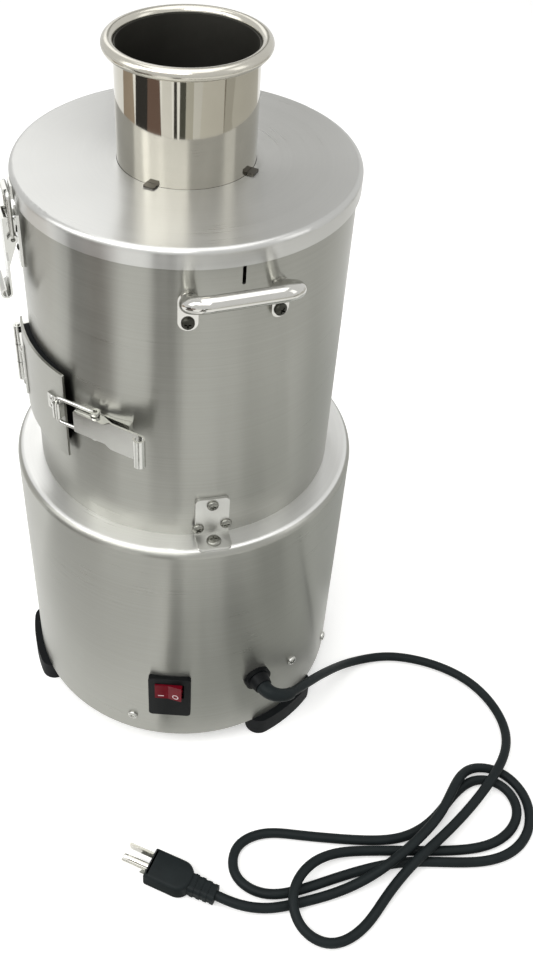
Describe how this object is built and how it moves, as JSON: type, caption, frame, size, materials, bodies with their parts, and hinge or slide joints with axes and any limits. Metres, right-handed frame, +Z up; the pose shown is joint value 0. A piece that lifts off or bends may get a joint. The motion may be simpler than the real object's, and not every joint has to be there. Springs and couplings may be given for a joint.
{
  "type": "garlic peeling machine",
  "caption": "Countertop garlic peeling machine: steel drum with a spinning disc on a motor base, lift-off lid with feed hopper, latched side door, rocker switch and mains cord.",
  "frame": {"origin": "on the floor under the axis of the drum, between the rubber feet", "axes": "+Z up the drum axis, -Y to the front with the switch, +X to the right seen from the front"},
  "size_m": [0.3852, 0.3827, 0.4901],
  "materials": {
    "brushed_stainless": "fine brushed",
    "polished_stainless": "mirror polished",
    "plated_steel": "bright zinc and nickel plate",
    "dark_bolt_steel": "black oxide",
    "black_rubber": "matt moulded",
    "black_plastic": "satin moulded",
    "red_plastic": "gloss moulded",
    "cord_pvc": "satin extruded",
    "brass_prongs": "plain",
    "motor_steel": "satin",
    "motor_cover_aluminium": "cast",
    "motor_iron": "laminated",
    "disc_stainless": "turned",
    "capacitor_case": "plain"
  },
  "bodies": {
    "machine": {"base_shell": "brushed_stainless", "bottom_plate": "brushed_stainless", "rubber_feet": "black_rubber", "foot_screws": "plated_steel", "base_screws": "plated_steel", "drum_shell": "brushed_stainless", "drum_floor": "brushed_stainless", "drum_brackets": "plated_steel", "bracket_screws": "plated_steel", "front_handle": "polished_stainless", "rear_handle": "polished_stainless", "handle_bolts": "dark_bolt_steel", "door_gasket": "black_rubber", "hinge_drum_leaf": "plated_steel", "hinge_pin": "plated_steel", "hinge_rivets": "plated_steel", "latch_bases": "plated_steel", "latch_pins": "plated_steel", "latch_rivets": "plated_steel", "switch_housing": "black_plastic", "cable_gland": "black_plastic", "gland_nut": "black_plastic", "motor_housing": "motor_steel", "motor_stator": "motor_iron", "motor_top_cover": "motor_cover_aluminium", "motor_bottom_cover": "motor_cover_aluminium", "motor_bearings": "motor_steel", "motor_bolts": "motor_steel", "motor_posts": "motor_steel", "capacitor": "capacitor_case", "capacitor_strap": "motor_steel", "shaft_seal": "black_rubber", "cord_relief": "cord_pvc", "power_cord": "cord_pvc", "plug_relief": "cord_pvc", "plug_body": "cord_pvc", "plug_prongs": "brass_prongs"},
    "rotor": {"motor_shaft": "motor_steel", "motor_core": "motor_iron", "peeling_disc": "disc_stainless", "peeling_paddles": "black_rubber", "rotor_nut": "plated_steel"},
    "lid": {"lid_cover": "brushed_stainless", "lid_seal": "black_rubber", "lid_keepers": "plated_steel", "hopper": "polished_stainless", "hopper_clips": "polished_stainless"},
    "door": {"door_panel": "brushed_stainless", "hinge_door_leaf": "plated_steel", "door_keeper": "plated_steel", "door_rivets": "plated_steel"},
    "left_lever_body": {"left_lever": "plated_steel"},
    "right_lever_body": {"right_lever": "plated_steel"},
    "door_lever_body": {"door_lever": "plated_steel"},
    "left_loop_body": {"left_loop": "plated_steel"},
    "right_loop_body": {"right_loop": "plated_steel"},
    "door_loop_body": {"door_loop": "plated_steel"},
    "rocker_body": {"rocker": "red_plastic"}
  },
  "joints": [
    {"name": "rotor_spin", "type": "hinge", "parent": "machine", "child": "rotor", "pos_m": [0, 0, 0.2], "axis": [0, 0, 1], "continuous": true},
    {"name": "lid_lift", "type": "slide", "parent": "machine", "child": "lid", "axis": [0, 0, 1], "range_m": [0, 0.15]},
    {"name": "door_swing", "type": "hinge", "parent": "machine", "child": "door", "pos_m": [-0.1039, -0.01832, 0.2905], "axis": [0, 0, -1], "range_deg": [0, 110]},
    {"name": "left_latch", "type": "hinge", "parent": "machine", "child": "left_lever_body", "pos_m": [-0.09773, -0.03557, 0.3976], "axis": [-0.342, 0.9397, 0], "range_deg": [0, 90]},
    {"name": "right_latch", "type": "hinge", "parent": "machine", "child": "right_lever_body", "pos_m": [0.04559, 0.09348, 0.3976], "axis": [0.8988, -0.4384, 0], "range_deg": [0, 90]},
    {"name": "door_latch", "type": "hinge", "parent": "machine", "child": "door_lever_body", "pos_m": [-0.05305, -0.08981, 0.2975], "axis": [0, 0, -1], "range_deg": [0, 90]},
    {"name": "left_loop_tilt", "type": "hinge", "parent": "lid", "child": "left_loop_body", "pos_m": [-0.09679, -0.03523, 0.4161], "axis": [-0.342, 0.9397, 0], "range_deg": [0, 20]},
    {"name": "right_loop_tilt", "type": "hinge", "parent": "lid", "child": "right_loop_body", "pos_m": [0.04515, 0.09258, 0.4161], "axis": [0.8988, -0.4384, 0], "range_deg": [0, 20]},
    {"name": "door_loop_tilt", "type": "hinge", "parent": "door", "child": "door_loop_body", "pos_m": [-0.06921, -0.08075, 0.2975], "axis": [0, 0, -1], "range_deg": [0, 20]},
    {"name": "switch_rock", "type": "hinge", "parent": "machine", "child": "rocker_body", "pos_m": [0, -0.113, 0.0735], "axis": [0, 0, 1], "range_deg": [0, 14]}
  ],
  "couplings": [
    {"joint": "left_loop_tilt", "follows": "left_latch", "ratio": 0.22},
    {"joint": "right_loop_tilt", "follows": "right_latch", "ratio": 0.22},
    {"joint": "door_loop_tilt", "follows": "door_latch", "ratio": 0.22}
  ]
}
